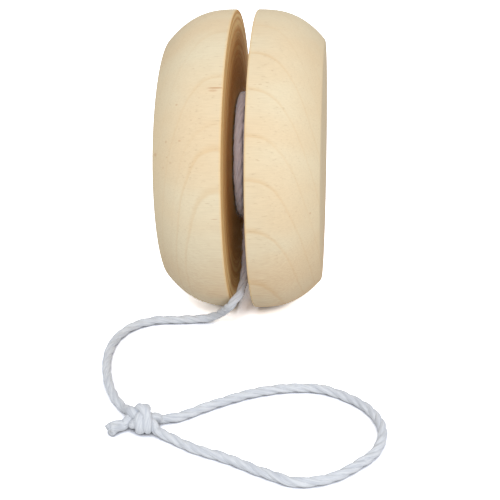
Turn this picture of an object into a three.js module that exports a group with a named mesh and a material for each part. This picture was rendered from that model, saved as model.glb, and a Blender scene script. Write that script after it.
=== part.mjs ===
// Wooden yo-yo: two domed halves on a dowel axle, with a cotton string wound in the gap between them.
// Millimetres. +X runs along the axle to the right half, -Y is the side where the string hangs out, and
// +Z is up. The origin is on the surface that the yo-yo stands on, below the middle of the gap.
import * as THREE from "three";

// Driving dimensions
const YOYO_DIAMETER = 55;
const HALF_WIDTH = 12.3; // inner face to outer face of one half
const STRING_GAP = 3.7; // between the two inner faces
const FACE_DIAMETER = 44; // flat outer face, out to where the dome would meet it with no rounded edge
const DOME_POWER = 2.7; // a higher power keeps the width near the rim and turns in later
const RIM_ROUND = 0.3; // radius of the edge between an inner face and the rim
const FACE_ROUND = 1.0; // radius of the edge between the dome and an outer face
const DOWEL_DIAMETER = 8;
const BORE_DEPTH = 8.5; // of the blind hole in each half
const CLEARANCE = 0.3; // left between any two touching pieces
const STRING_DIAMETER = 1.6;
const WINDING_RADIUS = 11.6; // outside of the wound string
const WINDING_RISE = 1.1; // the loose last layers sit this far above the axle's line

// Mesh fineness
const RIM_SIDES = 64; // a multiple of 4, so that flats face down, up and to both sides
const DOME_STEPS = 7;
const ROUND_STEPS = 2;
const DOWEL_SIDES = 32;
const WINDING_SIDES = 48;
const STRING_SIDES = 8;
const STRING_STEP = 2.2 * STRING_DIAMETER;

const rimRadius = YOYO_DIAMETER / 2;
const faceRadius = FACE_DIAMETER / 2;
const dowelRadius = DOWEL_DIAMETER / 2;
const stringRadius = STRING_DIAMETER / 2;
const halfGap = STRING_GAP / 2;
const axleHeight = rimRadius;

const wood = new THREE.MeshStandardMaterial({ color: 0xe8d6b2, roughness: 0.62, metalness: 0 });
const dowelWood = new THREE.MeshStandardMaterial({ color: 0xd9bf92, roughness: 0.68, metalness: 0 });
const cotton = new THREE.MeshStandardMaterial({ color: 0xdde1e4, roughness: 0.95, metalness: 0 });

function named(name, geometry, material) {
  const mesh = new THREE.Mesh(geometry, material);
  mesh.name = name;
  return mesh;
}

// Points of a quarter round about (centreRadius, centreAxial), from one angle to the other.
function arc(centreRadius, centreAxial, radius, fromAngle, toAngle) {
  const points = [];
  for (let i = 0; i <= ROUND_STEPS; i += 1) {
    const angle = fromAngle + ((toAngle - fromAngle) * i) / ROUND_STEPS;
    const across = centreRadius + radius * Math.cos(angle);
    points.push(new THREE.Vector2(across, centreAxial + radius * Math.sin(angle)));
  }
  return points;
}

// Radius of the dome at a distance from the inner face.
function domeRadius(distance) {
  return rimRadius - (rimRadius - faceRadius) * (distance / HALF_WIDTH) ** DOME_POWER;
}

// A turned solid, its flats tangent to the true circle, with its axis laid along X.
function turned(profile, sides) {
  const geometry = new THREE.LatheGeometry(profile, sides);
  geometry.rotateY(Math.PI / sides);
  const tangent = 1 / Math.cos(Math.PI / sides);
  geometry.scale(tangent, 1, tangent);
  geometry.rotateZ(-Math.PI / 2);
  return geometry;
}

// One half: blind bore, inner face, rounded rim, dome, rounded outer edge and flat outer face.
function makeHalf(name, side) {
  const boreRadius = dowelRadius + CLEARANCE;
  const faceSlope = ((rimRadius - faceRadius) * DOME_POWER) / HALF_WIDTH;
  const faceTurn = Math.atan(faceSlope);
  const profile = [
    new THREE.Vector2(0, BORE_DEPTH),
    new THREE.Vector2(boreRadius, BORE_DEPTH),
    new THREE.Vector2(boreRadius, 0),
    ...arc(rimRadius - RIM_ROUND, RIM_ROUND, RIM_ROUND, -Math.PI / 2, 0),
  ];
  const domeEnd = HALF_WIDTH - FACE_ROUND * (1 - Math.sin(faceTurn));
  for (let i = 1; i <= DOME_STEPS; i += 1) {
    const distance = RIM_ROUND + ((domeEnd - RIM_ROUND) * i) / DOME_STEPS;
    profile.push(new THREE.Vector2(domeRadius(distance), distance));
  }
  const edgeRadius = domeRadius(domeEnd) - FACE_ROUND * Math.cos(faceTurn);
  const faceEdge = arc(edgeRadius, HALF_WIDTH - FACE_ROUND, FACE_ROUND, faceTurn, Math.PI / 2);
  profile.push(...faceEdge.slice(1));
  profile.push(new THREE.Vector2(0, HALF_WIDTH));
  const half = named(name, turned(profile, RIM_SIDES), wood);
  half.rotation.z = side > 0 ? 0 : Math.PI;
  half.position.set(side * halfGap, 0, axleHeight);
  return half;
}

function makeAxle() {
  const reach = halfGap + BORE_DEPTH - CLEARANCE;
  const profile = [
    new THREE.Vector2(0, -reach),
    new THREE.Vector2(dowelRadius, -reach),
    new THREE.Vector2(dowelRadius, reach),
    new THREE.Vector2(0, reach),
  ];
  const axle = named("axle_dowel", turned(profile, DOWEL_SIDES), dowelWood);
  axle.position.z = axleHeight;
  return axle;
}

// The wound turns of string, as one ring round the axle that stays clear of it and of both halves.
function makeWinding() {
  const halfRing = halfGap - CLEARANCE;
  const inner = dowelRadius + WINDING_RISE + CLEARANCE;
  const profile = [
    new THREE.Vector2(inner, -halfRing),
    new THREE.Vector2(WINDING_RADIUS - stringRadius, -halfRing),
    new THREE.Vector2(WINDING_RADIUS, 0),
    new THREE.Vector2(WINDING_RADIUS - stringRadius, halfRing),
    new THREE.Vector2(inner, halfRing),
    new THREE.Vector2(inner, -halfRing),
  ];
  const ring = named("string_winding", turned(profile, WINDING_SIDES), cotton);
  ring.position.z = axleHeight + WINDING_RISE;
  return ring;
}

// A plain tube of string along a smooth curve through the points.
function makeString(name, points) {
  const route = new THREE.CatmullRomCurve3(points.map(([x, y, z]) => new THREE.Vector3(x, y, z)));
  const section = new THREE.Shape();
  for (let i = 0; i < STRING_SIDES; i += 1) {
    const angle = ((i + 0.5) * 2 * Math.PI) / STRING_SIDES;
    const across = stringRadius * Math.cos(angle);
    const up = stringRadius * Math.sin(angle);
    if (i === 0) {
      section.moveTo(across, up);
    } else {
      section.lineTo(across, up);
    }
  }
  section.closePath();
  const steps = Math.round(route.getLength() / STRING_STEP);
  const geometry = new THREE.ExtrudeGeometry(section, { steps, extrudePath: route, bevelEnabled: false });
  return named(name, geometry, cotton);
}

const onFloor = stringRadius;

// From the front of the winding, out of the gap over the left half's rim, and along the floor to the knot.
const LINE_ROUTE = [
  [0.75, -11.3, 21.6],
  [0.7, -12.3, 18.8],
  [0.7, -13.8, 16.4],
  [0.7, -15.5, 14.4],
  [0.6, -17.2, 12.8],
  [0.4, -18.9, 11.3],
  [-0.1, -20.3, 10.1],
  [-1.3, -21.3, 8.7],
  [-2.9, -18.8, 5.9],
  [-4.8, -15.3, 2.8],
  [-6.6, -13.9, 1.3],
  [-9.0, -13.8, onFloor],
  [-13.1, -14.2, onFloor],
  [-17.1, -14.7, onFloor],
  [-20.5, -16.9, onFloor],
  [-22.6, -20.5, onFloor],
  [-23.3, -25.0, onFloor],
  [-22.7, -30.7, onFloor],
  [-21.4, -35.4, onFloor],
  [-19.1, -40.4, onFloor],
  [-16.8, -43.6, 1.1],
];

// Out of the knot, round the finger loop and back to the knot.
const LOOP_ROUTE = [
  [-10.9, -46.0, 1.2],
  [-8.0, -45.0, onFloor],
  [-4.8, -42.7, onFloor],
  [-1.5, -40.4, onFloor],
  [3.6, -37.5, onFloor],
  [9.0, -35.8, onFloor],
  [14.4, -35.6, onFloor],
  [19.9, -38.3, onFloor],
  [23.4, -42.0, onFloor],
  [24.9, -47.0, onFloor],
  [23.9, -51.8, onFloor],
  [20.6, -56.0, onFloor],
  [16.4, -59.2, onFloor],
  [12.0, -60.1, onFloor],
  [7.1, -58.2, onFloor],
  [0.2, -54.7, onFloor],
  [-3.3, -53.4, onFloor],
  [-7.0, -51.3, onFloor],
  [-10.9, -48.7, 1.1],
];

// The cut end of the string, past the knot.
const TAIL_ROUTE = [
  [-16.2, -47.6, 1.0],
  [-17.0, -48.2, 0.9],
  [-18.2, -49.6, onFloor],
];

// The drawn-up knot, as one rounded lump resting on the floor.
const KNOT_CENTRE = [-13.8, -46.3];
const KNOT_RADII = [2.4, 2.1, 1.8];
const KNOT_SIDES = 20;
const KNOT_RINGS = 10;

function makeKnot() {
  const geometry = new THREE.SphereGeometry(1, KNOT_SIDES, KNOT_RINGS);
  geometry.scale(...KNOT_RADII);
  const knot = named("finger_knot", geometry, cotton);
  knot.position.set(KNOT_CENTRE[0], KNOT_CENTRE[1], KNOT_RADII[2]);
  return knot;
}

const yoyo = new THREE.Group();
yoyo.add(
  makeHalf("left_half", -1),
  makeHalf("right_half", 1),
  makeAxle(),
  makeWinding(),
  makeString("string_line", LINE_ROUTE),
  makeKnot(),
  makeString("finger_loop", LOOP_ROUTE),
  makeString("string_tail", TAIL_ROUTE),
);

export default yoyo;
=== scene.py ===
"""Looks of the wooden yo-yo: turned halves of pale wood on a dowel, and a three-strand cotton string."""

import math

import bpy
import numpy as np
from mathutils import Euler, Matrix, Vector


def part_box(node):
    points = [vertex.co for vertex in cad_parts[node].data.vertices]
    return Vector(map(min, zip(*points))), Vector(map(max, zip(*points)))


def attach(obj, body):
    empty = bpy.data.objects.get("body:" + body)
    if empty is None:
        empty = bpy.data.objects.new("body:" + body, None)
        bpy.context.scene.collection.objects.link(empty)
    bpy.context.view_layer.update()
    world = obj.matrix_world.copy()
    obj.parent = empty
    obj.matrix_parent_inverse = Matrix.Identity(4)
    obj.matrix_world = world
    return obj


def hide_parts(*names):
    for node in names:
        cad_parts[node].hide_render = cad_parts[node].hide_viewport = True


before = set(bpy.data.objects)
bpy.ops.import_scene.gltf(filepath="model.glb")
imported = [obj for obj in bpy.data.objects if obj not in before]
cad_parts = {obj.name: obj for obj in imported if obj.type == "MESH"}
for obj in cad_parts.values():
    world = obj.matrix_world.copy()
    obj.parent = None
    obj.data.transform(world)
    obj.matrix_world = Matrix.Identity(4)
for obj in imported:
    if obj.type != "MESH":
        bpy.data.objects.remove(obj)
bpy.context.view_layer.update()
MM = 0.001

# Sizes that the frame gives
left_low, left_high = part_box("left_half")
right_low, right_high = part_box("right_half")
axle_low, axle_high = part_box("axle_dowel")
winding_low, winding_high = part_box("string_winding")
rim_radius = (left_high.z - left_low.z) / 2
axle_height = (left_high.z + left_low.z) / 2
half_gap = right_low.x
half_width = right_high.x - right_low.x
dowel_radius = (axle_high.z - axle_low.z) / 2
winding_radius = (winding_high.z - winding_low.z) / 2
winding_rise = (winding_high.z + winding_low.z) / 2 - axle_height

# Sizes of the turned shapes, as in the CAD part
FACE_RADIUS = 22 * MM
DOME_POWER = 2.7
RIM_ROUND = 0.3 * MM
FACE_ROUND = 1.0 * MM
BORE_DEPTH = 8.5 * MM
BORE_CLEARANCE = 0.3 * MM
STRING_DIAMETER = 1.6 * MM

# ---------------------------------------------------------------- camera

CAMERA_PLACE = Vector((19.2, -185.4, 102.4)) * MM
CAMERA_AIM = Vector((-0.15, 0.0, 8.55)) * MM
CAMERA_ROLL = math.radians(-1.6)
CAMERA_LENS = 77
CAMERA_CLIP = 0.01


def make_camera():
    data = bpy.data.cameras.new("camera")
    data.lens = CAMERA_LENS
    data.clip_start = CAMERA_CLIP
    camera = bpy.data.objects.new("camera", data)
    bpy.context.scene.collection.objects.link(camera)
    look = (CAMERA_AIM - CAMERA_PLACE).to_track_quat("-Z", "Y")
    rolled = look.to_matrix().to_4x4() @ Matrix.Rotation(CAMERA_ROLL, 4, "Z")
    camera.matrix_world = Matrix.Translation(CAMERA_PLACE) @ rolled
    bpy.context.scene.camera = camera


make_camera()

# ---------------------------------------------------------------- string route

ON_FLOOR = STRING_DIAMETER / 2 / MM

# From the front of the winding, out of the gap over the left half's rim, and on the floor to the knot.
LINE_ROUTE = [
    (0.75, -11.3, 21.6),
    (0.7, -12.3, 18.8),
    (0.7, -13.8, 16.4),
    (0.7, -15.5, 14.4),
    (0.6, -17.2, 12.8),
    (0.4, -18.9, 11.3),
    (-0.1, -20.3, 10.1),
    (-1.3, -21.3, 8.7),
    (-2.9, -18.8, 5.9),
    (-4.8, -15.3, 2.8),
    (-6.6, -13.9, 1.3),
    (-9.0, -13.8, ON_FLOOR),
    (-13.1, -14.2, ON_FLOOR),
    (-17.1, -14.7, ON_FLOOR),
    (-20.5, -16.9, ON_FLOOR),
    (-22.6, -20.5, ON_FLOOR),
    (-23.3, -25.0, ON_FLOOR),
    (-22.7, -30.7, ON_FLOOR),
    (-21.4, -35.4, ON_FLOOR),
    (-19.1, -40.4, ON_FLOOR),
    (-16.8, -43.6, 1.1),
]

# Out of the knot, round the finger loop and back to the knot.
LOOP_ROUTE = [
    (-10.9, -46.0, 1.2),
    (-8.0, -45.0, ON_FLOOR),
    (-4.8, -42.7, ON_FLOOR),
    (-1.5, -40.4, ON_FLOOR),
    (3.6, -37.5, ON_FLOOR),
    (9.0, -35.8, ON_FLOOR),
    (14.4, -35.6, ON_FLOOR),
    (19.9, -38.3, ON_FLOOR),
    (23.4, -42.0, ON_FLOOR),
    (24.9, -47.0, ON_FLOOR),
    (23.9, -51.8, ON_FLOOR),
    (20.6, -56.0, ON_FLOOR),
    (16.4, -59.2, ON_FLOOR),
    (12.0, -60.1, ON_FLOOR),
    (7.1, -58.2, ON_FLOOR),
    (0.2, -54.7, ON_FLOOR),
    (-3.3, -53.4, ON_FLOOR),
    (-7.0, -51.3, ON_FLOOR),
    (-10.9, -48.7, 1.1),
]

# The cut end of the string, past the knot.
TAIL_ROUTE = [(-16.2, -47.6, 1.0), (-17.0, -48.2, 0.9), (-18.2, -49.6, ON_FLOOR)]

# ---------------------------------------------------------------- string line


def smooth_line(points, step):
    """A smooth curve through the points, as points a step apart."""
    points = np.array(points, float)
    spans = np.linalg.norm(np.diff(points, axis=0), axis=1)
    slopes = np.diff(points, axis=0) / spans[:, None]
    before, after = spans[:-1, None], spans[1:, None]
    inner = (slopes[:-1] * after + slopes[1:] * before) / (before + after)
    tangents = np.vstack([slopes[:1], inner, slopes[-1:]])
    places = np.concatenate([[0], np.cumsum(spans)])
    along = np.arange(0, places[-1], step)
    k = np.searchsorted(places, along, side="right") - 1
    t = ((along - places[k]) / spans[k])[:, None]
    span = spans[k][:, None]
    return (
        (2 * t**3 - 3 * t**2 + 1) * points[k]
        + (t**3 - 2 * t**2 + t) * span * tangents[k]
        + (3 * t**2 - 2 * t**3) * points[k + 1]
        + (t**3 - t**2) * span * tangents[k + 1]
    )


def places_along(points):
    return np.concatenate([[0], np.cumsum(np.linalg.norm(np.diff(points, axis=0), axis=1))])


def smooth_share(value, low, high):
    share = np.clip((value - low) / (high - low), 0, 1)
    return share * share * (3 - 2 * share)


# The string is wound in layers of two turns side by side. Low at the back it moves over to the next
# turn, or out to the next layer.
WINDING_LAYERS = 5
TURNS_PER_LAYER = 2
TURN_STEPS = 40
CROSS_START = 0.35
CROSS_END = 0.5
FRONT = math.pi / 2


def turn_place(turn):
    """Sideways place, radius and rise of a turn of the winding, in millimetres."""
    layer = turn // TURNS_PER_LAYER
    side = 1 if (turn + 1) // TURNS_PER_LAYER % 2 else -1
    depth = layer / (WINDING_LAYERS - 1)
    span = winding_radius - dowel_radius - STRING_DIAMETER
    radius = dowel_radius + STRING_DIAMETER / 2 + depth * span
    rise = winding_rise * depth
    return np.array([side * STRING_DIAMETER / 2, radius, rise]) / MM


def wound_points():
    """The turns round the axle, from its surface out to the front of the last turn, in millimetres."""
    points = []
    first = round(TURN_STEPS * CROSS_END)
    for step in range(first, WINDING_LAYERS * TURNS_PER_LAYER * TURN_STEPS):
        turn, part = divmod(step, TURN_STEPS)
        part /= TURN_STEPS
        share = smooth_share(part, CROSS_START, CROSS_END)
        x, radius, rise = turn_place(max(turn - 1, 0)) * (1 - share) + turn_place(turn) * share
        angle = FRONT + 2 * math.pi * part
        height = axle_height / MM + rise + radius * math.cos(angle)
        points.append((x, -radius * math.sin(angle), height))
    return points


# ---------------------------------------------------------------- knot

# The finger loop is tied with an overhand knot in the doubled string: two strands follow one
# flat overhand line, and are then drawn up until they press on each other.
KNOT_POINTS = 60
KNOT_REACH = 2.2
KNOT_CROSSINGS = (0.518, 1.732, 1.932)
KNOT_LEAD = 0.5
KNOT_SCALE = 0.9
KNOT_RISE = 1.2
KNOT_SPREAD = 1.1
KNOT_TURN = (139, 15, 21)
KNOT_SHIFT = (0, 1, 0)
KNOT_START = np.array([-12.3, -47.9, 2.2])
KNOT_SQUEEZE = 1.2
KNOT_STRAND = 13.2
KNOT_SKIP = 5
KNOT_ROUNDS = 700
KNOT_EVENING = 0.15
GATHER_SHARE = 0.5
TIGHTEN_SHARE = 0.7
LINK_ROUNDS = 3
LINK_PULL = 0.4
CONTACT_PUSH = 0.25
STEP_LIMIT = 0.2
LEAST_LENGTH = 1e-6


def overhand_line():
    """One strand of a loose overhand knot, over and under itself in turn."""
    t = np.linspace(-KNOT_REACH, KNOT_REACH, KNOT_POINTS)
    crossings = [-c for c in reversed(KNOT_CROSSINGS)] + list(KNOT_CROSSINGS)
    count = len(crossings)
    passes = [-KNOT_LEAD, *range(count), count - 1 + KNOT_LEAD]
    turns = np.interp(t, [-KNOT_REACH, *crossings, KNOT_REACH], passes)
    flat = KNOT_SCALE * np.array([t**3 - 3 * t, t**4 - 4 * t**2])
    return np.array([flat[0], flat[1], KNOT_RISE * np.cos(np.pi * turns)]).T


def loose_knot():
    """The doubled line, turned to face the front, with the back strand first."""
    line = overhand_line()
    along = np.gradient(line, axis=0)[:, :2]
    along /= np.linalg.norm(along, axis=1)[:, None]
    aside = np.column_stack([-along[:, 1], along[:, 0], np.zeros(KNOT_POINTS)]) * KNOT_SPREAD / 2
    turn = np.array(Euler([math.radians(angle) for angle in KNOT_TURN]).to_matrix())
    pair = [line + side * aside + KNOT_SHIFT for side in (1, -1)]
    strands = [strand @ turn.T + KNOT_START for strand in pair]
    return sorted(strands, key=lambda strand: -strand[0][1])


def link_shift(points, links, rest):
    """How far each point moves to bring the links between neighbours to their rest length."""
    span = points[links + 1] - points[links]
    length = np.linalg.norm(span, axis=1)
    pull = (LINK_PULL * (length - rest) / length)[:, None] * span
    shift = np.zeros_like(points)
    np.add.at(shift, links, pull)
    np.add.at(shift, links + 1, -pull)
    return shift


def contact_shift(points, first, second):
    """How far each point moves to keep strands that press on each other apart."""
    span = points[second] - points[first]
    length = np.maximum(np.linalg.norm(span, axis=1), LEAST_LENGTH)
    near = length < KNOT_SQUEEZE
    push = (CONTACT_PUSH * (KNOT_SQUEEZE - length[near]) / length[near])[:, None] * span[near]
    shift = np.zeros_like(points)
    np.add.at(shift, first[near], -push)
    np.add.at(shift, second[near], push)
    return np.clip(shift, -STEP_LIMIT, STEP_LIMIT)


def draw_up(strands, ends):
    """Both strands of the knot drawn tight between their ends, and lying on the floor."""
    points = np.concatenate(strands)
    count = len(points)
    held = np.array([0, KNOT_POINTS - 1, KNOT_POINTS, count - 1])
    free = np.setdiff1d(np.arange(count), held)
    links = np.delete(np.arange(count - 1), KNOT_POINTS - 1)
    first, second = np.triu_indices(count, 1)
    apart = (first < KNOT_POINTS) & (second >= KNOT_POINTS) | (second - first > KNOT_SKIP)
    first, second = first[apart], second[apart]
    begin = points[held].copy()
    slack = np.linalg.norm(points[links + 1] - points[links], axis=1).mean()
    tight = KNOT_STRAND / (KNOT_POINTS - 1)
    for turn in range(KNOT_ROUNDS):
        share = min(1, turn / (GATHER_SHARE * KNOT_ROUNDS))
        points[held] = begin * (1 - share) + ends * share
        points[free] += KNOT_EVENING * ((points[free - 1] + points[free + 1]) / 2 - points[free])
        share = min(1, turn / (TIGHTEN_SHARE * KNOT_ROUNDS))
        for _ in range(LINK_ROUNDS):
            shift = link_shift(points, links, slack * (1 - share) + tight * share)
            points[free] += shift[free]
        points[free] += contact_shift(points, first, second)[free]
        points[free, 2] = np.maximum(points[free, 2], ON_FLOOR)
    return points[:KNOT_POINTS], points[KNOT_POINTS:]


def string_points():
    """The whole string, from the axle to the cut end behind the knot, in millimetres."""
    ends = np.array([LINE_ROUTE[-1], LOOP_ROUTE[0], TAIL_ROUTE[0], LOOP_ROUTE[-1]])
    going, coming = draw_up(loose_knot(), ends)
    return np.vstack(
        [wound_points(), LINE_ROUTE[:-1], going, LOOP_ROUTE[1:-1], coming[::-1], TAIL_ROUTE[1:]]
    )


# ---------------------------------------------------------------- string mesh

# Lengths are in millimetres. The plies swell and thin along the string in slow waves.
LINE_STEP = 0.1
RING_STEP = 0.25
HIDDEN_RING_STEP = 0.5
HIDDEN_TURNS = 8
PLIES = 3
PLY_SIDES = 12
PLY_OFFSET = 0.3
PLY_RADIUS = 0.5
LAY_LENGTH = 8.25
FIBRE_TURN = 2 * math.pi * PLY_OFFSET / LAY_LENGTH / PLY_RADIUS
UNEVEN = 0.03
UNEVEN_RATES = (0.9, 0.37)
SLUB = 0.04
SLUB_RATE = 1.7
SLUB_SHIFT = 2.1
PRESSED = 0.14
PRESSED_REACH = 12
KNOT_MIDDLE = (-13.6, -46.6, 1.8)
KNOT_REACHES = (4.5, 2.5)
TAIL_LENGTH = 4.0
TAIL_SWELL = 0.45


def frames_along(line):
    """Directions across a line, which don't twist about it."""
    tangents = np.gradient(line, axis=0)
    tangents /= np.linalg.norm(tangents, axis=1)[:, None]
    normals = np.empty_like(line)
    normal = np.array([1.0, 0.0, 0.0])
    for k, tangent in enumerate(tangents):
        normal = normal - tangent * normal.dot(tangent)
        normal /= np.linalg.norm(normal)
        normals[k] = normal
    return normals, np.cross(tangents, normals)


def at_places(values, places, wanted):
    return np.column_stack([np.interp(wanted, places, column) for column in values.T])


def hidden_length():
    """The length of the inner turns, which the outer ones cover."""
    steps = HIDDEN_TURNS * TURN_STEPS - round(TURN_STEPS * CROSS_END)
    return places_along(np.array(wound_points()[:steps]))[-1]


def wound_length():
    return places_along(np.array(wound_points()))[-1]


def ring_places(total):
    """Where the string's rings lie: further apart in the inner turns."""
    hidden = hidden_length()
    inner = np.arange(0, hidden, HIDDEN_RING_STEP)
    return np.concatenate([inner, np.arange(hidden, total - RING_STEP / 2, RING_STEP), [total]])


def swell(places):
    """How full the string is along its length: uneven all along, and brushed out at its cut end."""
    quick, slow = (np.sin(places * rate) for rate in UNEVEN_RATES)
    brushed = smooth_share(places, places[-1] - TAIL_LENGTH, places[-1])
    return 1 + UNEVEN * quick * slow + TAIL_SWELL * brushed


def pressed_share(line, places):
    """1 where the plies are pressed together, in the winding and in the knot, and 0 elsewhere."""
    wound = smooth_share(places, wound_length() + PRESSED_REACH, wound_length())
    from_knot = np.linalg.norm(line - KNOT_MIDDLE, axis=1)
    return np.maximum(wound, smooth_share(from_knot, *KNOT_REACHES))


def fibre_places(places, ply, angle):
    """Each ring point's place along its ply and round it, turned so that the fibres keep straight."""
    fibre = angle[None] + FIBRE_TURN * places[:, None]
    along = np.repeat(places[:, None], PLY_SIDES, 1)
    across = PLY_RADIUS * np.cos(fibre) + ply * PLIES
    return np.stack([along, across, PLY_RADIUS * np.sin(fibre)], 2)


def ply_rings(line, places, ply):
    """One ply's rings, and each point's place along and round it, in millimetres."""
    normals, binormals = frames_along(line)
    turn = 2 * math.pi * (places / LAY_LENGTH + ply / PLIES)
    outward = np.cos(turn)[:, None] * normals + np.sin(turn)[:, None] * binormals
    full = swell(places)[:, None]
    pressed = PRESSED * pressed_share(line, places)
    centre = line + (PLY_OFFSET - pressed)[:, None] * full * outward
    tangent = np.gradient(centre, axis=0)
    tangent /= np.linalg.norm(tangent, axis=1)[:, None]
    up = outward - tangent * (outward * tangent).sum(1)[:, None]
    up /= np.linalg.norm(up, axis=1)[:, None]
    aside = np.cross(tangent, up)
    angle = 2 * math.pi * np.arange(PLY_SIDES) / PLY_SIDES
    slub = 1 + SLUB * np.sin(places * SLUB_RATE + SLUB_SHIFT * ply)
    radius = ((PLY_RADIUS + pressed) * slub)[:, None] * full
    outer = np.cos(angle)[None, :, None] * up[:, None]
    ring = outer + np.sin(angle)[None, :, None] * aside[:, None]
    return centre[:, None] + radius[:, None] * ring, fibre_places(places, ply, angle)


def tube_faces(rings, sides, start):
    """Quads between neighbouring rings of a tube, and its two ends, numbered from start."""
    ring = np.arange(rings - 1)[:, None] * sides
    side = np.arange(sides)[None]
    after = (side + 1) % sides
    quads = np.stack([ring + side, ring + after, ring + after + sides, ring + side + sides], 2)
    first = [start + k for k in reversed(range(sides))]
    last = [start + (rings - 1) * sides + k for k in range(sides)]
    return (quads.reshape(-1, 4) + start).tolist() + [first, last]


def new_piece(name, points, faces, sharp_angle=None):
    """A smooth-shaded mesh object from points in metres."""
    mesh = bpy.data.meshes.new(name)
    mesh.from_pydata(np.asarray(points).tolist(), [], faces)
    mesh.validate()
    mesh.shade_smooth()
    if sharp_angle:
        mesh.set_sharp_from_angle(angle=sharp_angle)
    piece = bpy.data.objects.new(name, mesh)
    bpy.context.scene.collection.objects.link(piece)
    return piece


def store_places(piece, name, places):
    """Keeps a place for every point of the mesh, for its material to read."""
    attribute = piece.data.attributes.new(name, "FLOAT_VECTOR", "POINT")
    attribute.data.foreach_set("vector", np.asarray(places, np.float32).ravel())


def make_string(line, places):
    points, grain, faces = [], [], []
    for ply in range(PLIES):
        rings, place = ply_rings(line, places, ply)
        faces += tube_faces(len(rings), PLY_SIDES, ply * rings[..., 0].size)
        points.append(rings.reshape(-1, 3))
        grain.append(place.reshape(-1, 3))
    piece = new_piece("string", np.concatenate(points) * MM, faces)
    store_places(piece, "fibre_place", np.concatenate(grain))
    return piece


# ---------------------------------------------------------------- loose fibres

# How many fibres there are, where and how long they are in millimetres, and how they bend.
FUZZ_SEED = 7
FUZZ_PER_MM = 7
WINDING_FUZZ = 2500
TAIL_FUZZ = 90
TAIL_FUZZ_REACH = 1
LINE_LENGTHS = (0.3, 0.8)
WINDING_LENGTHS = (0.4, 1.0)
TAIL_LENGTHS = (0.5, 1.1)
FUZZ_STEPS = 5
FUZZ_SIDES = 3
FUZZ_RADIUS = 0.014
FUZZ_TIP = 0.4
FUZZ_LEAN = 1.6
FUZZ_CURL = 0.5
FUZZ_RISE = 0.6
FUZZ_ROOT = 0.7


def fuzz_lines(line, places, count, low, high, lengths, random):
    """Curved lines that start on the string's surface and lean along it."""
    normals, binormals = frames_along(line)
    tangents = np.cross(normals, binormals)
    start = random.uniform(low, high, count)
    angle = random.uniform(0, 2 * math.pi, count)
    base, normal, binormal, tangent = (
        at_places(values, places, start) for values in (line, normals, binormals, tangents)
    )
    outward = np.cos(angle)[:, None] * normal + np.sin(angle)[:, None] * binormal
    lean = random.uniform(-FUZZ_LEAN, FUZZ_LEAN, count)[:, None] * tangent
    curl = random.normal(0, FUZZ_CURL, (count, 3))
    length = random.uniform(*lengths, count)[:, None]
    steps = np.linspace(0, 1, FUZZ_STEPS)
    root = base + outward * FUZZ_ROOT * STRING_DIAMETER / 2 / MM
    rise = outward * FUZZ_RISE + lean
    lines = [root + length * (step * rise + step**2 * curl) for step in steps]
    return np.stack(lines, 1)


def all_fuzz_lines(line, places):
    """Fibres where the string shows, more of them on its winding, and more at its cut end."""
    random = np.random.default_rng(FUZZ_SEED)
    total = places[-1]
    shown = hidden_length()
    stretches = (
        (round((total - shown) * FUZZ_PER_MM), shown, total, LINE_LENGTHS),
        (WINDING_FUZZ, shown, wound_length(), WINDING_LENGTHS),
        (TAIL_FUZZ, total - TAIL_FUZZ_REACH, total, TAIL_LENGTHS),
    )
    return np.concatenate([fuzz_lines(line, places, *stretch, random) for stretch in stretches])


def make_fuzz(line, places):
    """Fine tapering tubes that stand off the string, and stay above the floor."""
    taper = FUZZ_RADIUS * np.linspace(1, FUZZ_TIP, FUZZ_STEPS)[:, None]
    corners = [2 * math.pi * k / FUZZ_SIDES for k in range(FUZZ_SIDES)]
    points, faces = [], []
    for fibre in all_fuzz_lines(line, places):
        fibre[:, 2] = np.maximum(fibre[:, 2], FUZZ_RADIUS)
        normals, binormals = frames_along(fibre)
        faces += tube_faces(FUZZ_STEPS, FUZZ_SIDES, len(points) * FUZZ_STEPS * FUZZ_SIDES)
        rings = [fibre + taper * (math.cos(c) * normals + math.sin(c) * binormals) for c in corners]
        points.append(np.stack(rings, 1).reshape(-1, 3))
    return new_piece("string_fuzz", np.concatenate(points) * MM, faces)


# ---------------------------------------------------------------- turned wood

TURNED_SIDES = 264
DOME_STEPS = 36
ARC_STEPS = 8
FACE_STEPS = 60
GROOVE_PITCH = 0.55 * MM
GROOVE_DEPTH = 0.025 * MM
GROOVE_STEPS = 6
GROOVE_VARIES = 0.3
GROOVE_VARIES_OVER = 1.9 * MM
SHARP_ANGLE = math.radians(50)


def arc_points(centre, radius, begin, end):
    """Points on an arc of a profile, as depth along the axle and distance from it."""
    angles = np.linspace(begin, end, ARC_STEPS)
    return [(centre[0] + radius * math.cos(a), centre[1] + radius * math.sin(a)) for a in angles]


def dome_radius(depth):
    return rim_radius - (rim_radius - FACE_RADIUS) * (depth / half_width) ** DOME_POWER


def groove(radius):
    """The fine spiral that the lathe tool leaves on the inner face."""
    wave = (1 - math.cos(2 * math.pi * radius / GROOVE_PITCH)) / 2
    varied = GROOVE_VARIES * math.sin(radius / GROOVE_VARIES_OVER)
    return GROOVE_DEPTH * wave * (1 - GROOVE_VARIES + varied)


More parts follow.
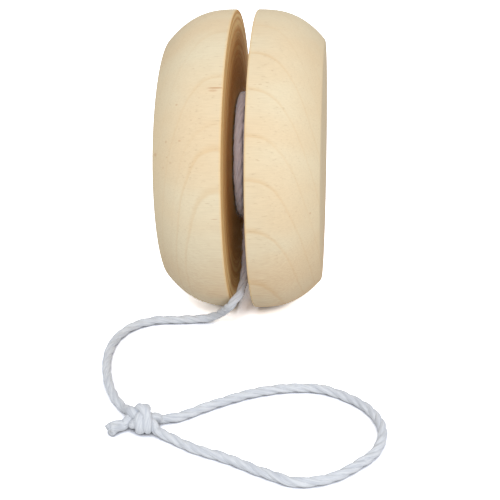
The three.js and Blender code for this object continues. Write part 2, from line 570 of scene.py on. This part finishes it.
def half_profile():
    """A half's outline, from the bottom of its bore round to the middle of its outer face."""
    bore = dowel_radius + BORE_CLEARANCE
    rim = rim_radius - RIM_ROUND
    slope = math.atan((rim_radius - FACE_RADIUS) * DOME_POWER / half_width)
    dome_end = half_width - FACE_ROUND * (1 - math.sin(slope))
    face_edge = dome_radius(dome_end) - FACE_ROUND * math.cos(slope)
    inner_steps = round((rim - bore) / GROOVE_PITCH * GROOVE_STEPS)
    dome = np.linspace(RIM_ROUND, dome_end, DOME_STEPS)
    edge = (half_width - FACE_ROUND, face_edge)
    profile = [(BORE_DEPTH, 0.0), (BORE_DEPTH, bore)]
    profile += [(groove(r), r) for r in np.linspace(bore, rim, inner_steps)]
    profile += arc_points((RIM_ROUND, rim), RIM_ROUND, math.pi, math.pi / 2)[1:]
    profile += [(depth, dome_radius(depth)) for depth in dome[1:]]
    profile += arc_points(edge, FACE_ROUND, math.pi / 2 - slope, 0)[1:]
    profile += [(half_width, r) for r in np.linspace(face_edge, 0, FACE_STEPS)[1:]]
    return profile


def turned_piece(name, profile, start, side):
    """A profile turned about the axle, from start and away to that side."""
    angles = 2 * math.pi * np.arange(TURNED_SIDES) / TURNED_SIDES
    rings = [
        np.column_stack(
            [
                np.full(TURNED_SIDES, start + side * depth),
                radius * np.cos(angles),
                axle_height + radius * np.sin(angles),
            ]
        )
        for depth, radius in profile[1:-1]
    ]
    middle = len(rings) * TURNED_SIDES
    faces = tube_faces(len(rings), TURNED_SIDES, 0)[:-2]
    for centre, ring in ((middle, 0), (middle + 1, middle - TURNED_SIDES)):
        corners = [(ring + k, ring + (k + 1) % TURNED_SIDES) for k in range(TURNED_SIDES)]
        faces += [(centre, b, a) if ring == 0 else (centre, a, b) for a, b in corners]
    ends = [(start + side * profile[k][0], 0, axle_height) for k in (0, -1)]
    if side < 0:
        faces = [face[::-1] for face in faces]
    return new_piece(name, np.vstack([*rings, ends]), faces, SHARP_ANGLE)


# ---------------------------------------------------------------- material nodes

# The colour sockets of a Mix node, by number, because its other sockets have the same names.
MIX_FIRST = 6
MIX_SECOND = 7
MIX_RESULT = 2

# How finely a noise is broken up, from smooth to fibrous.
SMOOTH = 1.0
CLOUDY = 2.0
STREAKY = 3.0
FIBROUS = 4.0


def colour(*screen):
    """A colour for a shader, from its red, green and blue as a screen shows them, 0 to 255."""
    linear = [((c / 255 + 0.055) / 1.055) ** 2.4 for c in screen]
    return (*linear, 1.0)


def new_material(name):
    material = bpy.data.materials.new(name)
    material.use_nodes = True
    return material


def fill_inputs(material, node, inputs):
    """Links an input whose value is another node's output, and sets any other."""
    for key, value in inputs.items():
        if isinstance(value, bpy.types.NodeSocket):
            material.node_tree.links.new(value, node.inputs[key])
        else:
            node.inputs[key].default_value = value


def fill_shader(material, inputs):
    fill_inputs(material, material.node_tree.nodes["Principled BSDF"], inputs)


def add_node(material, kind, inputs, **settings):
    made = material.node_tree.nodes.new(kind)
    for name, value in settings.items():
        setattr(made, name, value)
    fill_inputs(material, made, inputs)
    return made


def maths(material, operation, first, second=0.0):
    return add_node(material, "ShaderNodeMath", {0: first, 1: second}, operation=operation).outputs[0]


def times(material, first, second):
    return maths(material, "MULTIPLY", first, second)


def plus(material, first, second):
    return maths(material, "ADD", first, second)


def minus(material, first, second):
    return maths(material, "SUBTRACT", first, second)


def vectors(material, operation, first, second=(0, 0, 0)):
    return add_node(material, "ShaderNodeVectorMath", {0: first, 1: second}, operation=operation)


def stretched(material, place, scale):
    return vectors(material, "MULTIPLY", place, scale).outputs["Vector"]


def share_between(material, value, low, high):
    """0 where the value is at low, 1 where it is at high, and smooth between."""
    inputs = {"Value": value, "From Min": low, "From Max": high}
    node = add_node(material, "ShaderNodeMapRange", inputs, interpolation_type="SMOOTHSTEP")
    return node.outputs["Result"]


def noise(material, place, scale, detail=CLOUDY):
    """Noise from 0 to 1 over a place in millimetres, with that many features a millimetre."""
    inputs = {"Vector": stretched(material, place, scale), "Scale": 1.0, "Detail": detail}
    return add_node(material, "ShaderNodeTexNoise", inputs).outputs["Fac"]


def mixed(material, share, first, second, blend="MIX"):
    inputs = {0: share, MIX_FIRST: first, MIX_SECOND: second}
    node = add_node(material, "ShaderNodeMix", inputs, data_type="RGBA", blend_type=blend)
    return node.outputs[MIX_RESULT]


def bumped(material, height, depth, below=None):
    """A bump from a height of 0 to 1, that deep in millimetres."""
    inputs = {"Height": height, "Strength": 1.0, "Distance": depth * MM}
    if below:
        inputs["Normal"] = below
    return add_node(material, "ShaderNodeBump", inputs).outputs["Normal"]


def split(material, place, axis):
    return add_node(material, "ShaderNodeSeparateXYZ", {"Vector": place}).outputs[axis]


def sideways(material, place):
    """How far a place or a direction goes to either side, along X."""
    return maths(material, "ABSOLUTE", split(material, place, "X"))


def place_in_millimetres(material):
    place = add_node(material, "ShaderNodeTexCoord", {}).outputs["Object"]
    return stretched(material, place, (1 / MM, 1 / MM, 1 / MM))


# ---------------------------------------------------------------- wood

# Each half is cut from another place in the tree. The pith is given by its distance from the axle and
# the angle from straight back up to it. The growth rings are evenly spaced out to the first outer ring.
# Each outer ring has its distance from the pith in millimetres, and how strongly it shows.
PITH = {"left": (5.3, 32), "right": (7.8, 55), "dowel": (3.0, 90)}
OUTER_RINGS = {
    "left": ((26.6, 0.4), (28.6, 0.6), (30.0, 0.3), (30.7, 0.9), (31.6, 0.8)),
    "right": ((25.0, 0.9), (27.1, 0.8), (29.2, 0.8), (31.1, 0.9), (32.9, 1.0), (34.7, 1.0)),
    "dowel": ((8.0, 0.5),),
}
RING_SPACING = {"left": 1.9, "right": 2.08, "dowel": 1.0}
RING_RISE = 0.22
RING_FALL = 0.08
INNER_RING = 0.4

# How unevenly the rings run, in millimetres, and how patchily they show.
RING_WAVER = 0.4
RING_RIPPLE = 0.1
WAVER_SCALE = (0.05, 0.09, 0.09)
RIPPLE_SCALE = (0.2, 0.7, 0.7)
PATCH_SCALE = (0.12, 0.15, 0.15)
PATCH_RANGE = (0.2, 0.5)
PATCH_LEAST = 0.5

# How dark the ring lines are: everywhere, more near the gap, and more on the flat outer face.
RING_SHARE = 0.17
RING_NEAR_GAP = 0.14
RING_ON_FACE = 0.2
NEAR_GAP_RANGE = (10.0, 3.0)
FACE_RANGE = (0.8, 1.0)

WOOD_LIGHT = colour(218, 206, 178)
WOOD_WARM = colour(218, 198, 165)
WOOD_RING = colour(200, 160, 104)
WOOD_PORE = colour(176, 140, 100)
WOOD_END = colour(206, 186, 152)
WOOD_INNER = colour(250, 222, 164)
WOOD_STREAK = colour(216, 170, 106)
# Painted shade for the inner faces deep in the gap.
WOOD_DEEP_SHADE = colour(220, 175, 105)
# A painted highlight along the rim's rounded edge.
WOOD_RIM_HIGHLIGHT = colour(226, 190, 128)
WOOD_MARK = colour(168, 106, 56)

# Scales are a noise's features a millimetre along X, Y and Z. Ranges are where a share starts and
# ends, and depths are the bump's, in millimetres.
CLOUD_SCALE = (0.04, 0.1, 0.1)
CLOUD_RANGE = (0.3, 0.7)
PORE_SCALE = (0.8, 6.5, 6.5)
PORE_RANGE = (0.66, 0.78)
PORE_SHARE = 0.25
PORE_DEPTH = 0.03
END_GRAIN_RANGE = (0.35, 1.0)
END_GRAIN_SHARE = 0.6
FIBRE_SCALE = (0.35, 5.0, 5.0)
FIBRE_RANGE = (0.25, 0.75)
FIBRE_DEPTH = 0.012
LATHE_SCALE = (7.0, 0.02, 0.02)
LATHE_DEPTH = 0.006
WOOD_ROUGH = (0.6, 0.78)
WOOD_SPECULAR = 0.15

# The faces of the gap, with painted shade deeper in, and its rim, with a painted highlight along its
# edge, in millimetres past the gap and in from the rim.
INNER_EDGE = (0.08, 0.03)
INNER_SHARE = 0.85
STREAK_SCALE = (0.9, 1, 1)
STREAK_RANGE = (0.4, 0.6)
DEEP_SHADE_FROM_RIM = (2.0, 14.0)
RIM_HIGHLIGHT_EDGE = (0.5, 0.2)
RIM_HIGHLIGHT_SHARE = 0.3

# How dark the fibres show, above and below the axle: towards the bottom they are darker and more orange,
# which is painted shade.
FIBRE_BRIGHT = (1.02, 1.02, 1.02, 1.0)
FIBRE_UPPER = (0.955, 0.95, 0.945, 1.0)
FIBRE_SHADED_BELOW = (0.9, 0.81, 0.76, 1.0)
SHADE_BELOW_RANGE = (axle_height / MM + 2, 6.0)

# Small brown flecks: side of the yo-yo, depth from the gap, angle above the front, length along
# the grain and width, in millimetres and degrees, and how strongly each shows.
FLECKS = (
    (-1, 1.3, 47, 3.4, 0.26, 0.6),
    (-1, 1.7, 46, 1.6, 0.5, 0.3),
    (-1, 7.8, 42, 0.9, 0.35, 0.3),
    (-1, 7.0, 28.4, 0.8, 0.35, 0.3),
    (-1, 9.5, 28.4, 0.8, 0.4, 0.25),
    (-1, 9.3, 22.5, 3.4, 0.3, 0.22),
    (-1, 8.6, 20.5, 2.6, 0.3, 0.2),
    (-1, 10.0, 18.5, 2.2, 0.4, 0.16),
    (-1, 11.6, 23.6, 1.4, 0.7, 0.3),
    (-1, 1.2, 1.0, 1.3, 0.12, 0.45),
    (1, 10.7, 0.3, 0.9, 0.4, 0.3),
    (1, 6.8, 3.2, 0.6, 0.4, 0.12),
)
FLECK_EDGE = (1.3, 0.4)


def ring_line(material, past, strength):
    """A ring's dark line, which deepens slowly towards its outer side, from the distance past it."""
    rise = share_between(material, past, -RING_RISE, 0.0)
    fall = share_between(material, past, RING_FALL, 0.0)
    return times(material, times(material, rise, fall), strength)


def from_pith(material, place, name):
    """The distance from the pith in millimetres, a little uneven, as real rings are."""
    offset, turn = PITH[name]
    behind = offset * math.cos(math.radians(turn))
    above = axle_height / MM + offset * math.sin(math.radians(turn))
    across = stretched(material, place, (0, 1, 1))
    distance = vectors(material, "DISTANCE", across, (0, behind, above)).outputs["Value"]
    waver = minus(material, noise(material, place, WAVER_SCALE, detail=SMOOTH), 0.5)
    ripple = minus(material, noise(material, place, RIPPLE_SCALE), 0.5)
    moved = plus(material, times(material, waver, RING_WAVER), times(material, ripple, RING_RIPPLE))
    return plus(material, distance, moved)


def growth_rings(material, place, name):
    """Where the dark line that ends each year's growth shows, from 0 to 1."""
    distance = from_pith(material, place, name)
    spacing = RING_SPACING[name]
    first = OUTER_RINGS[name][0][0]
    inside = maths(material, "LESS_THAN", distance, first - spacing / 2)
    steps = maths(material, "WRAP", minus(material, distance, first), spacing / 2)
    steps.node.inputs[2].default_value = -spacing / 2
    line = ring_line(material, steps, times(material, inside, INNER_RING))
    for ring, strength in OUTER_RINGS[name]:
        one = ring_line(material, minus(material, distance, ring), strength)
        line = maths(material, "MAXIMUM", line, one)
    patchy = share_between(material, noise(material, place, PATCH_SCALE), *PATCH_RANGE)
    shown = plus(material, times(material, patchy, 1 - PATCH_LEAST), PATCH_LEAST)
    return times(material, line, shown)


def ring_share(material, place, end_grain):
    """How dark the ring lines are: darker near the gap, and on the flat outer face."""
    near_gap = share_between(material, sideways(material, place), *NEAR_GAP_RANGE)
    face = share_between(material, end_grain, *FACE_RANGE)
    share = plus(material, times(material, near_gap, RING_NEAR_GAP), RING_SHARE)
    return plus(material, share, times(material, face, RING_ON_FACE))


def past_gap(material, place, edge):
    """0 from the first distance past the side of the gap, and 1 up to the second."""
    first, second = (half_gap / MM + reach for reach in edge)
    return share_between(material, sideways(material, place), first, second)


def from_axle(material, place):
    """The distance from the axle, in millimetres."""
    across = stretched(material, place, (0, 1, 1))
    return vectors(material, "DISTANCE", across, (0, 0, axle_height / MM)).outputs["Value"]


def in_from_rim(material, radius, reaches):
    """0 at the first distance in from the rim, and 1 at the second."""
    first, second = (rim_radius / MM - reach for reach in reaches)
    return share_between(material, radius, first, second)


def inner_face_tone(material, place, tone):
    """The faces of the gap, browner than the rest and streaked round by the lathe tool, with painted
    shade that darkens them deeper in towards the axle.
    """
    radius = from_axle(material, place)
    round_place = add_node(material, "ShaderNodeCombineXYZ", {0: radius}).outputs["Vector"]
    streaks = noise(material, round_place, STREAK_SCALE, detail=STREAKY)
    streaks = share_between(material, streaks, *STREAK_RANGE)
    inner = mixed(material, streaks, WOOD_STREAK, WOOD_INNER)
    inner = mixed(material, in_from_rim(material, radius, DEEP_SHADE_FROM_RIM), inner, WOOD_DEEP_SHADE)
    share = times(material, past_gap(material, place, INNER_EDGE), INNER_SHARE)
    return mixed(material, share, tone, inner)


def rim_highlight_tone(material, place, tone):
    """A golden painted highlight along the rounded edge of the gap's rim."""
    near = past_gap(material, place, RIM_HIGHLIGHT_EDGE)
    outer = in_from_rim(material, from_axle(material, place), RIM_HIGHLIGHT_EDGE)
    share = times(material, times(material, near, outer), RIM_HIGHLIGHT_SHARE)
    return mixed(material, share, tone, WOOD_RIM_HIGHLIGHT)


def fleck_share(material, place, side, depth, angle, length, width, strength):
    """The fleck's strength in its middle, and 0 away from it."""
    turn = math.radians(angle)
    radius = dome_radius(depth * MM) / MM
    middle = (
        side * (half_gap / MM + depth),
        -radius * math.cos(turn),
        axle_height / MM + radius * math.sin(turn),
    )
    away = vectors(material, "SUBTRACT", place, middle).outputs["Vector"]
    reach = stretched(material, away, (2 / length, 2 / width, 2 / width))
    reach = vectors(material, "LENGTH", reach).outputs["Value"]
    return times(material, share_between(material, reach, *FLECK_EDGE), strength)


def plain_tone(material, place, name, pores):
    """The wood's tone from its clouds, end grain, growth rings and pores."""
    clouds = share_between(material, noise(material, place, CLOUD_SCALE), *CLOUD_RANGE)
    facing = add_node(material, "ShaderNodeTexCoord", {}).outputs["Normal"]
    end_grain = share_between(material, sideways(material, facing), *END_GRAIN_RANGE)
    rings = growth_rings(material, place, name)
    rings = times(material, rings, ring_share(material, place, end_grain))
    tone = mixed(material, clouds, WOOD_LIGHT, WOOD_WARM)
    tone = mixed(material, times(material, end_grain, END_GRAIN_SHARE), tone, WOOD_END)
    tone = mixed(material, rings, tone, WOOD_RING)
    return mixed(material, times(material, pores, PORE_SHARE), tone, WOOD_PORE)


def fibre_tone(material, place, tone, fibres):
    """The tone streaked by the wood's fibres, more strongly below the axle as painted shade."""
    shade_below = share_between(material, split(material, place, "Z"), *SHADE_BELOW_RANGE)
    dark = mixed(material, shade_below, FIBRE_UPPER, FIBRE_SHADED_BELOW)
    shade = mixed(material, share_between(material, fibres, *FIBRE_RANGE), dark, FIBRE_BRIGHT)
    return mixed(material, 1.0, tone, shade, blend="MULTIPLY")


def wood_bump(material, place, fibres, pores):
    """Raised fibres, faint lathe lines and sunken pores."""
    lathe = noise(material, place, LATHE_SCALE, detail=SMOOTH)
    normal = bumped(material, fibres, FIBRE_DEPTH)
    normal = bumped(material, lathe, LATHE_DEPTH, normal)
    return bumped(material, minus(material, 1.0, pores), PORE_DEPTH, normal)


def wood_material(name, side=0):
    """Pale close-grained wood, its fibres along the axle, turned and sanded but not finished."""
    material = new_material(f"{name}_wood")
    place = place_in_millimetres(material)
    fibres = noise(material, place, FIBRE_SCALE, detail=FIBROUS)
    pores = share_between(material, noise(material, place, PORE_SCALE, detail=SMOOTH), *PORE_RANGE)
    tone = plain_tone(material, place, name, pores)
    tone = fibre_tone(material, place, tone, fibres)
    if side:
        tone = inner_face_tone(material, place, tone)
        tone = rim_highlight_tone(material, place, tone)
    for fleck in FLECKS:
        if fleck[0] == side:
            tone = mixed(material, fleck_share(material, place, *fleck), tone, WOOD_MARK)
    smooth, rough = WOOD_ROUGH
    roughness = {"Value": fibres, "To Min": smooth, "To Max": rough}
    inputs = {
        "Base Color": tone,
        "Roughness": add_node(material, "ShaderNodeMapRange", roughness).outputs["Result"],
        "Specular IOR Level": WOOD_SPECULAR,
        "Normal": wood_bump(material, place, fibres, pores),
    }
    fill_shader(material, inputs)
    return material


# ---------------------------------------------------------------- cotton

COTTON_LIGHT = colour(210, 214, 220)
COTTON_SHADE = colour(192, 197, 206)
# A warm tint for the winding: partly wear, partly painted light bounced from the wood.
COTTON_WORN_AND_BOUNCE = (1.15, 0.98, 0.96, 1.0)
# Painted shade for the string where it leaves the gap.
COTTON_GAP_SHADE = (0.56, 0.52, 0.52, 1.0)
COTTON_FIBRES = (0.7, 9.0, 9.0)
COTTON_FIBRE_DEPTH = 0.06
COTTON_BUNDLES = (0.25, 3.0, 3.0)
COTTON_BUNDLE_DEPTH = 0.12
COTTON_RANGE = (0.75, 1.15)
COTTON_ROUGH = 0.95
COTTON_SPECULAR = 0.1
COTTON_SHEEN = 0.25
COTTON_SHEEN_ROUGH = 0.5
FUZZ_ROUGH = 0.9
FUZZ_SCALE = (1.0, 1.0, 1.0)

# Where the string's warm tint, partly wear and partly painted bounce light, and its painted shade start
# and end, in millimetres past its winding.
WORN_AND_BOUNCE_END = (24, 12)
GAP_SHADE_START = (-3, 4)
GAP_SHADE_END = (30, 19)


def past_winding(material, along, reaches):
    first, second = (wound_length() + reach for reach in reaches)
    return share_between(material, along, first, second)


def cotton_material():
    """Spun white cotton: fine fibres along the ply and uneven shade between them. It is warmer where
    it is wound, partly from wear and partly as painted light bounced from the wood, and darkened with
    painted shade on its way out of the gap."""
    material = new_material("cotton")
    place = add_node(material, "ShaderNodeAttribute", {}, attribute_name="fibre_place").outputs["Vector"]
    fibres = noise(material, place, COTTON_FIBRES, detail=STREAKY)
    bundles = noise(material, place, COTTON_BUNDLES, detail=SMOOTH)
    share = share_between(material, plus(material, fibres, bundles), *COTTON_RANGE)
    tone = mixed(material, share, COTTON_SHADE, COTTON_LIGHT)
    along = split(material, place, "X")
    # Warmer where wound: partly wear, partly painted light bounced from the wood.
    worn_and_bounce = past_winding(material, along, WORN_AND_BOUNCE_END)
    tone = mixed(material, worn_and_bounce, tone, COTTON_WORN_AND_BOUNCE, blend="MULTIPLY")
    # Painted shade where the string leaves the gap.
    begins, ends = (past_winding(material, along, reaches) for reaches in (GAP_SHADE_START, GAP_SHADE_END))
    tone = mixed(material, times(material, begins, ends), tone, COTTON_GAP_SHADE, blend="MULTIPLY")
    raised = bumped(material, fibres, COTTON_FIBRE_DEPTH)
    inputs = {
        "Base Color": tone,
        "Roughness": COTTON_ROUGH,
        "Specular IOR Level": COTTON_SPECULAR,
        "Sheen Weight": COTTON_SHEEN,
        "Sheen Roughness": COTTON_SHEEN_ROUGH,
        "Normal": bumped(material, bundles, COTTON_BUNDLE_DEPTH, raised),
    }
    fill_shader(material, inputs)
    return material


def fuzz_material():
    """Single cotton fibres, a little uneven in tone."""
    material = new_material("cotton_fibre")
    uneven = noise(material, place_in_millimetres(material), FUZZ_SCALE)
    tone = mixed(material, uneven, COTTON_SHADE, COTTON_LIGHT)
    fill_shader(material, {"Base Color": tone, "Roughness": FUZZ_ROUGH})
    return material


# ---------------------------------------------------------------- pieces


def finish_piece(piece, material, body, slot, *nodes):
    piece.data.materials.append(material)
    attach(piece, body)
    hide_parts(*nodes)


def make_cord():
    line = smooth_line(string_points(), LINE_STEP)
    places = places_along(line)
    rings = ring_places(places[-1])
    line = at_places(line, places, rings)
    line[:, 2] = np.maximum(line[:, 2], ON_FLOOR * swell(rings))
    piece = make_string(line, rings)
    string_nodes = ("string_winding", "string_line", "finger_knot", "finger_loop", "string_tail")
    finish_piece(piece, cotton_material(), "string", "cotton_string", *string_nodes)
    fuzz = make_fuzz(line, rings)
    finish_piece(fuzz, fuzz_material(), "string", "cotton_string")


def make_halves():
    for name, side in (("left", -1), ("right", 1)):
        piece = turned_piece(f"{name}_half_turned", half_profile(), side * half_gap, side)
        finish_piece(piece, wood_material(name, side), "spool", "turned_wood", f"{name}_half")


DOWEL_CHAMFER = 0.5 * MM
DOWEL_STEPS = 24


def make_dowel():
    """The axle, with its ends chamfered to start into the bores."""
    length = axle_high.x - axle_low.x
    end_radius = dowel_radius - DOWEL_CHAMFER
    side = np.linspace(DOWEL_CHAMFER, length - DOWEL_CHAMFER, DOWEL_STEPS)
    profile = [(0, 0), (0, end_radius)]
    profile += [(x, dowel_radius) for x in side]
    profile += [(length, end_radius), (length, 0)]
    piece = turned_piece("axle_dowel_turned", profile, axle_low.x, 1)
    finish_piece(piece, wood_material("dowel"), "spool", "dowel_wood", "axle_dowel")


make_cord()
make_halves()
make_dowel()

# ---------------------------------------------------------------- floor and light

FLOOR_RADIUS = 3.0
FLOOR_SIDES = 96
FLOOR_COLOUR = (0.75, 0.75, 0.75, 1.0)
FLOOR_SEEN = (2.3, 2.35, 2.5, 1.0)
FLOOR_CONTACT_SHADE = (0.08, 0.08, 0.1, 1.0)
CONTACT_REACH = 1.5 * MM
WORLD_STRENGTH = 0.72
BACKDROP_SEEN = 1.1

# Each lamp's place, power and size: one in front that looks into the gap, and one to its right.
LAMPS = (((0.03, -0.66, 0.6), 2.25, 0.15), ((0.36, -0.62, 0.5), 1.8, 0.2))


def make_floor():
    """A plain floor, exposed brighter for the camera than it lights the yo-yo, with a painted contact
    shadow where things touch it.
    """
    turns = [2 * math.pi * k / FLOOR_SIDES for k in range(FLOOR_SIDES)]
    points = [(FLOOR_RADIUS * math.cos(t), FLOOR_RADIUS * math.sin(t), 0) for t in turns]
    floor = new_piece("floor", points, [list(range(FLOOR_SIDES))])
    material = new_material("pale_floor")
    seen = add_node(material, "ShaderNodeLightPath", {}).outputs["Is Camera Ray"]
    # Painted contact shadow where the floor is close to the yo-yo and the string.
    contact = add_node(material, "ShaderNodeAmbientOcclusion", {"Distance": CONTACT_REACH})
    clear = mixed(material, contact.outputs["AO"], FLOOR_CONTACT_SHADE, FLOOR_SEEN)
    tone = mixed(material, seen, FLOOR_COLOUR, clear)
    shader = add_node(material, "ShaderNodeBsdfDiffuse", {"Color": tone})
    surface = material.node_tree.nodes["Material Output"].inputs["Surface"]
    material.node_tree.links.new(shader.outputs["BSDF"], surface)
    floor.data.materials.append(material)


def make_lights():
    """A white sky all round, exposed for the camera like the floor, and two soft lamps in front."""
    world = bpy.data.worlds.new("studio")
    world.use_nodes = True
    background = world.node_tree.nodes["Background"]
    background.inputs["Color"].default_value = (1, 1, 1, 1)
    seen = add_node(world, "ShaderNodeLightPath", {}).outputs["Is Camera Ray"]
    strength = maths(world, "MAXIMUM", times(world, seen, BACKDROP_SEEN), WORLD_STRENGTH)
    world.node_tree.links.new(strength, background.inputs["Strength"])
    bpy.context.scene.world = world
    for place, power, size in LAMPS:
        data = bpy.data.lights.new("lamp", "AREA")
        data.shape = "DISK"
        data.size = size
        data.energy = power
        lamp = bpy.data.objects.new("lamp", data)
        bpy.context.scene.collection.objects.link(lamp)
        turn = (-Vector(place)).to_track_quat("-Z", "Y").to_matrix().to_4x4()
        lamp.matrix_world = Matrix.Translation(place) @ turn


make_floor()
make_lights()
bpy.context.scene.view_settings.view_transform = "Standard"

bpy.context.view_layer.update()
